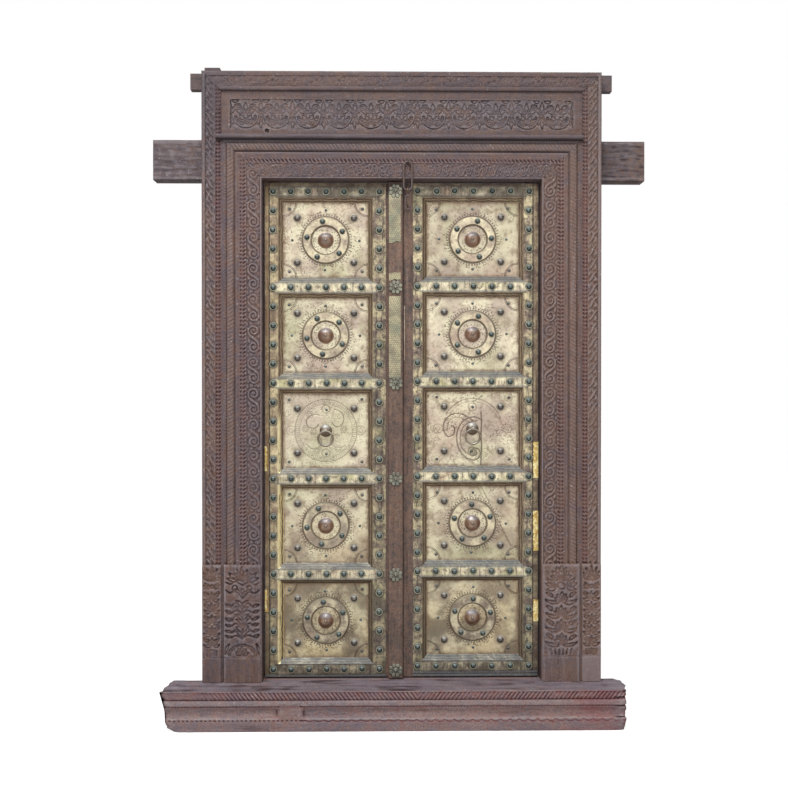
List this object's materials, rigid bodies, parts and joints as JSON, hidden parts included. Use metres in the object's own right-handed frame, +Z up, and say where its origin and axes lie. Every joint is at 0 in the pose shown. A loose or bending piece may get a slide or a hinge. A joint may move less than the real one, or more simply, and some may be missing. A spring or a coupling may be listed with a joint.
{
  "type": "carved temple door",
  "caption": "Double-leaf door in a carved hardwood frame with horned head and heavy sill; brass-clad panelled leaves with studs, bosses, ring pulls and a latch chain.",
  "frame": {"origin": "middle of the doorway on the underside of the sill, halfway through its depth", "axes": "+Z up, +Y through the doorway to the inside, +X to the right seen from outside"},
  "size_m": [1.598, 0.26, 2.104],
  "materials": {
    "carved_wood": "old weathered hardwood, matt",
    "sill_wood": "worn grey hardwood with reddish stains, matt",
    "leaf_wood": "dark bare hardwood, matt",
    "panel_brass": "pale aged brass sheet, dull",
    "clad_brass": "brown aged brass sheet, dull",
    "stud_brass": "dark tarnished brass, satin",
    "patch_brass": "newer brass, bright",
    "iron": "hand-forged iron, dark"
  },
  "bodies": {
    "frame": {"sill": "sill_wood", "head": "carved_wood", "inner_jamb_left": "carved_wood", "inner_jamb_right": "carved_wood", "outer_jamb_left": "carved_wood", "outer_jamb_right": "carved_wood", "outer_head": "carved_wood", "frieze_panel": "carved_wood", "cornice_strip": "sill_wood", "crown_rail": "sill_wood", "crown_post_left": "sill_wood", "crown_post_right": "sill_wood", "head_staple": "iron"},
    "left_leaf": {"left_hanging_stile": "leaf_wood", "left_meeting_stile": "leaf_wood", "left_bottom_rail": "leaf_wood", "left_cross_rail_1": "leaf_wood", "left_cross_rail_2": "leaf_wood", "left_cross_rail_3": "leaf_wood", "left_cross_rail_4": "leaf_wood", "left_top_rail": "leaf_wood", "left_panel_boards": "leaf_wood", "left_panel_sheets": "panel_brass", "left_cladding": "clad_brass", "left_rail_straps": "clad_brass", "left_boss_rings": "panel_brass", "left_bosses": "panel_brass", "left_panel_domes": "panel_brass", "left_studs": "stud_brass", "left_edge_patches": "patch_brass", "left_pull_boss": "clad_brass", "cover_strip": "leaf_wood", "cover_rosettes": "panel_brass"},
    "right_leaf": {"right_hanging_stile": "leaf_wood", "right_meeting_stile": "leaf_wood", "right_bottom_rail": "leaf_wood", "right_cross_rail_1": "leaf_wood", "right_cross_rail_2": "leaf_wood", "right_cross_rail_3": "leaf_wood", "right_cross_rail_4": "leaf_wood", "right_top_rail": "leaf_wood", "right_panel_boards": "leaf_wood", "right_panel_sheets": "panel_brass", "right_cladding": "clad_brass", "right_rail_straps": "clad_brass", "right_boss_rings": "panel_brass", "right_bosses": "panel_brass", "right_panel_domes": "panel_brass", "right_studs": "stud_brass", "right_edge_patches": "patch_brass", "right_pull_boss": "clad_brass", "right_staple": "iron"},
    "left_ring": {"left_pull_ring": "iron"},
    "right_ring": {"right_pull_ring": "iron"},
    "upper_link": {"chain_link_upper": "iron"},
    "lower_link": {"chain_link_lower": "iron"}
  },
  "joints": [
    {"name": "left_leaf_swing", "type": "hinge", "parent": "frame", "child": "left_leaf", "pos_m": [-0.418, 0.037, 0.9], "axis": [0, 0, 1], "range_deg": [0, 90]},
    {"name": "right_leaf_swing", "type": "hinge", "parent": "frame", "child": "right_leaf", "pos_m": [0.418, 0.037, 0.9], "axis": [0, 0, -1], "range_deg": [0, 90]},
    {"name": "left_pull_swing", "type": "hinge", "parent": "left_leaf", "child": "left_ring", "pos_m": [-0.2475, 0.0119, 0.92795], "axis": [-1, 0, 0], "range_deg": [0, 90]},
    {"name": "right_pull_swing", "type": "hinge", "parent": "right_leaf", "child": "right_ring", "pos_m": [0.231, 0.0119, 0.9342], "axis": [-1, 0, 0], "range_deg": [0, 90]},
    {"name": "upper_link_swing", "type": "hinge", "parent": "frame", "child": "upper_link", "pos_m": [0.018, -0.036, 1.79], "axis": [-1, 0, 0], "range_deg": [0, 80]},
    {"name": "lower_link_swing", "type": "hinge", "parent": "upper_link", "child": "lower_link", "pos_m": [0.018, -0.036, 1.7], "axis": [-1, 0, 0], "range_deg": [0, 60]}
  ]
}
